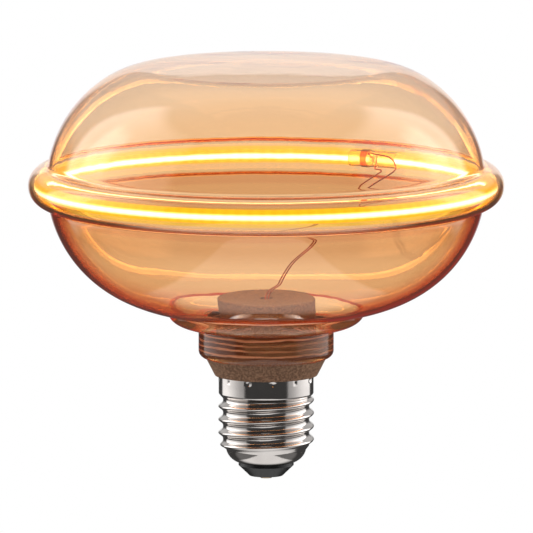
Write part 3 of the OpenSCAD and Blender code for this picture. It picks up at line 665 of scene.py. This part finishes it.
def filament_coat():
    """The glowing coat as a fine tube with flat ends, which leaves a gap at the joint."""
    turn = math.radians(360) - END_GAP / RING_R
    start = math.radians(JOINT_ANGLE) + END_GAP / 2 / RING_R
    rings, sides = 540, 24
    points, faces = [], []
    for i in range(rings + 1):
        a = start + turn * i / rings
        for k in range(sides):
            b = 2 * math.pi * k / sides
            r = RING_R + COAT_R * math.cos(b)
            points.append((r * math.cos(a) * MM, r * math.sin(a) * MM, (RIM_Z + COAT_R * math.sin(b)) * MM))
    for i in range(rings):
        for k in range(sides):
            j = (k + 1) % sides
            faces.append((i * sides + k, (i + 1) * sides + k, (i + 1) * sides + j, i * sides + j))
    faces.append(tuple(range(sides)))
    faces.append(tuple(rings * sides + k for k in reversed(range(sides))))
    return dressed(piece("filament_glow", points, faces), "phosphor_silicone", "filament_coat")


def ease(a, b, x):
    t = min(1, max(0, (x - a) / (b - a)))
    return t * t * (3 - 2 * t)


def thread_rise(a, z):
    """How far the thread stands out at angle a and height z. It runs out at the cup and under the skirt."""
    phase = 2 * math.pi * (z / THREAD_PITCH + THREAD_PHASE) - a
    grown = ease(CUP_END_Z + 0.1, ROOT_Z + 0.9, z) * (1 - ease(FLARE_Z - 0.2, SKIRT_Z - 0.5, z))
    return THREAD_DEPTH * ((1 + math.cos(phase)) / 2) ** CREST_WIDTH * grown


def wall_radius(z):
    """The shell's radius without thread or crimps, from the cup's end over the roots to the skirt."""
    return (CUP_END_R + (ROOT_R - CUP_END_R) * ease(CUP_END_Z, ROOT_Z, z)
            + (SKIRT_R - ROOT_R) * ease(FLARE_Z, SKIRT_Z, z))


def crimp(a, z):
    """How deep the nearest crimp presses in at angle a and height z."""
    depth = 0
    for i in range(CRIMPS):
        along = math.remainder(a - CRIMP_START - CRIMP_STEP * i, 2 * math.pi) * SKIRT_R
        up = z - CRIMP_Z
        if i % 3 == 0:
            far = math.hypot(along / DASH_HALF[0], (up - DASH_UP) / DASH_HALF[1])
        else:
            far = math.hypot(along, up) / DIMPLE_R
        if far < 1:
            depth = max(depth, CRIMP_DEPTH * (1 - far * far) ** 0.6)
    return depth


def shell_point(part, value, a, inset):
    """A point of the shell: value is the angle along the cup's curve, or the height on the wall."""
    if part == "cup":
        r = CUP_C + (CUP_R - inset) * math.cos(math.radians(value))
        z = CUP_Z + (CUP_R - inset) * math.sin(math.radians(value))
    else:
        z = value
        r = wall_radius(z) + thread_rise(a, z) - inset - (crimp(a, z) if z > SKIRT_Z else 0)
    return (r * math.cos(a) * MM, r * math.sin(a) * MM, z * MM)


def screw_shell():
    """Rolled sheet with the thread, the cup at its lower end and the crimps under the collar."""
    cup_rows, thread_rows, skirt_rows = 14, 130, 40
    rows = [("cup", t) for t in between(CUP_FROM, CUP_TO, cup_rows)]
    rows += [("wall", z) for z in between(CUP_END_Z, SKIRT_Z, thread_rows)[1:]]
    rows += [("wall", z) for z in between(SKIRT_Z, CAP_TOP, skirt_rows)[1:]]
    turn = [2 * math.pi * k / SHELL_SIDES for k in range(SHELL_SIDES)]
    points = [shell_point(*row, a, inset) for inset in (0, SHELL_T) for row in rows for a in turn]
    skin = len(rows) * SHELL_SIDES
    top = skin - SHELL_SIDES
    faces = []
    for i in range(len(rows) - 1):
        for k in range(SHELL_SIDES):
            j = (k + 1) % SHELL_SIDES
            a = i * SHELL_SIDES + k
            b = i * SHELL_SIDES + j
            c = b + SHELL_SIDES
            d = a + SHELL_SIDES
            faces.append((a, b, c, d))
            faces.append((skin + a, skin + d, skin + c, skin + b))
    for k in range(SHELL_SIDES):
        j = (k + 1) % SHELL_SIDES
        faces.append((k, skin + k, skin + j, j))
        faces.append((top + k, top + j, skin + top + j, skin + top + k))
    return dressed(piece("threaded_shell", points, faces, 60), "nickel", "screw_shell")


def field(t, azimuth, height, across, up):
    """1 in a part of the surroundings. across and up hold low end, rise, high end and fall in degrees."""
    return t.math("MULTIPLY", between_steps(t, azimuth, *across), between_steps(t, height, *up))


def level_below(t, x, y, z):
    """White strip on the ground from front to back below the lamp, and darker ground beside it."""
    down = t.math("MINIMUM", z, -0.02)
    ground = t.step(z, -0.45, -0.3, 1.0, 0.0)
    aside = t.math("ABSOLUTE", t.math("DIVIDE", x, down))
    behind = t.math("DIVIDE", y, t.math("ABSOLUTE", down))
    ground = t.math("MULTIPLY", ground, t.step(behind, 0.2, 0.9, 1.0, 0.0))
    strip = t.math("MULTIPLY", ground, t.step(aside, 0.54, 0.6, 1.0, 0.0))
    return t.math("MAXIMUM", strip, t.math("MULTIPLY", ground, GROUND))


def surroundings(t, direction):
    """Light level in a direction from the lamp, for reflected and for refracted rays."""
    x, y, z = t.axes(direction)
    turn = t.math("ABSOLUTE", t.math("ARCTAN2", x, t.math("MULTIPLY", y, -1.0)))
    azimuth = t.math("MULTIPLY", turn, 180 / math.pi)
    height = t.math("MULTIPLY", t.math("ARCSINE", z), 180 / math.pi)

    # White backdrop behind, up to its upper edge
    back = t.step(azimuth, 162, 170, 0.0, BACKDROP)
    back = t.math("MULTIPLY", back, between_steps(t, height, -15, 8, 13, 2))
    # Softboxes on both sides, brighter towards the back, with a bright lamp face in each
    box = field(t, azimuth, height, (50, 8, 136, 8), (-25, 10, 62, 12))
    box = t.math("MULTIPLY", box, t.step(azimuth, 50, 115, 0.4, 1.3))
    box = t.math("MULTIPLY", box, t.step(height, -12, 6, 0.6, 1.0))
    face = field(t, azimuth, height, (96, 8, 122, 8), (6, 8, 42, 10))
    # Dark gap between softbox and backdrop, grey in its upper part, and soft light high up
    gap = t.math("MULTIPLY_ADD", t.step(azimuth, 120, 150), t.step(height, -8, 5, 0.0, GAP_GREY), GAP_DARK)
    upper = t.math("MULTIPLY", t.step(azimuth, 105, 130), between_steps(t, height, 3, 12, 90, 30))
    mirrored = t.math("MULTIPLY_ADD", box, SOFTBOX, gap)
    mirrored = t.math("MULTIPLY_ADD", face, LAMP_FACE, mirrored)
    mirrored = t.math("MAXIMUM", mirrored, t.math("MULTIPLY", upper, HIGH_BEHIND))
    mirrored = t.math("MAXIMUM", mirrored, t.step(height, 40, 65, 0.0, OVERHEAD))
    mirrored = t.math("MAXIMUM", mirrored, back)
    mirrored = t.math("MAXIMUM", mirrored, level_below(t, x, y, z))

    # Refracted rays: white at mid heights, darker far below and above
    through = t.math("MULTIPLY", t.step(height, -60, -30, 0.1, 1.0), t.step(height, 25, 50, 1.0, 0.5))
    return mirrored, through


def straight(t, path):
    """1 for a ray that only passed through glass, and 0 once it has been mirrored anywhere."""
    mirrored = t.math("GREATER_THAN", path["Glossy Depth"], 0.5)
    return t.math("MULTIPLY", path["Is Transmission Ray"], t.math("SUBTRACT", 1.0, mirrored))


def studio():
    """World: soft light from both sides and behind. Direct sight of it is white."""
    world = bpy.data.worlds.new("studio")
    world.use_nodes = True
    bpy.context.scene.world = world
    t = Tree(world.node_tree)
    mirrored, through = surroundings(t, t.node("TexCoord").outputs["Generated"])
    path = t.node("LightPath").outputs
    level = t.math("MULTIPLY_ADD", t.math("SUBTRACT", through, mirrored), straight(t, path), mirrored)
    level = t.math("MULTIPLY_ADD", t.math("SUBTRACT", 1.0, level), path["Is Camera Ray"], level)
    light = t.node("Background", {"Color": (1, 1, 1), "Strength": level})
    t.out("World", Surface=light.outputs[0])


def floor():
    """Pale floor below the hung lamp: plain near it, and white further off, where it is the background."""
    corners = [(x * FLOOR_SIZE, y * FLOOR_SIZE, FLOOR_Z) for x, y in ((-1, -1), (1, -1), (1, 1), (-1, 1))]
    made = piece("floor", corners, [(0, 1, 2, 3)])
    material, t = new_look("floor")
    place = t.place()
    x, y, _ = t.axes(place)
    far = t.math("SQRT", t.math("ADD", t.math("MULTIPLY", x, x), t.math("MULTIPLY", y, y)))
    lamp = t.node("VectorMath", operation="SUBTRACT")
    t.put(lamp.inputs[0], place)
    t.put(lamp.inputs[1], (0, 0, RIM_Z * MM))
    direction = t.node("VectorMath", operation="NORMALIZE")
    t.put(direction.inputs[0], lamp.outputs[0])
    mirrored, through = surroundings(t, direction.outputs[0])
    path = t.node("LightPath").outputs
    passed = straight(t, path)
    clear = t.math("MAXIMUM", path["Is Camera Ray"], passed)
    glossy = t.math("MULTIPLY", path["Is Glossy Ray"], t.math("SUBTRACT", 1.0, clear))
    share = t.math("MAXIMUM", glossy, t.math("MULTIPLY", clear, t.step(far, 0.3, 1.6)))
    level = t.math("MULTIPLY_ADD", t.math("SUBTRACT", through, 1.0), passed, 1.0)
    level = t.math("MULTIPLY_ADD", t.math("SUBTRACT", mirrored, level), glossy, level)
    plain = t.node("BsdfDiffuse", {"Color": (0.85, 0.85, 0.85)}).outputs[0]
    white = t.node("Emission", {"Color": (1, 1, 1), "Strength": level}).outputs[0]
    blend = t.node("MixShader")
    t.put(blend.inputs[0], share)
    t.put(blend.inputs[1], plain)
    t.put(blend.inputs[2], white)
    t.out("Material", Surface=blend.outputs[0])
    made.data.materials.append(material)


def render_settings():
    """Colours as written, and enough bounces for the walls of the glass."""
    scene = bpy.context.scene
    scene.view_settings.view_transform = "Standard"
    scene.cycles.max_bounces = 24
    scene.cycles.transmission_bounces = 24
    scene.cycles.glossy_bounces = 12
    scene.cycles.use_denoising = True


camera()
dress_nodes()
glass()
filament_coat()
screw_shell()
studio()
floor()
render_settings()
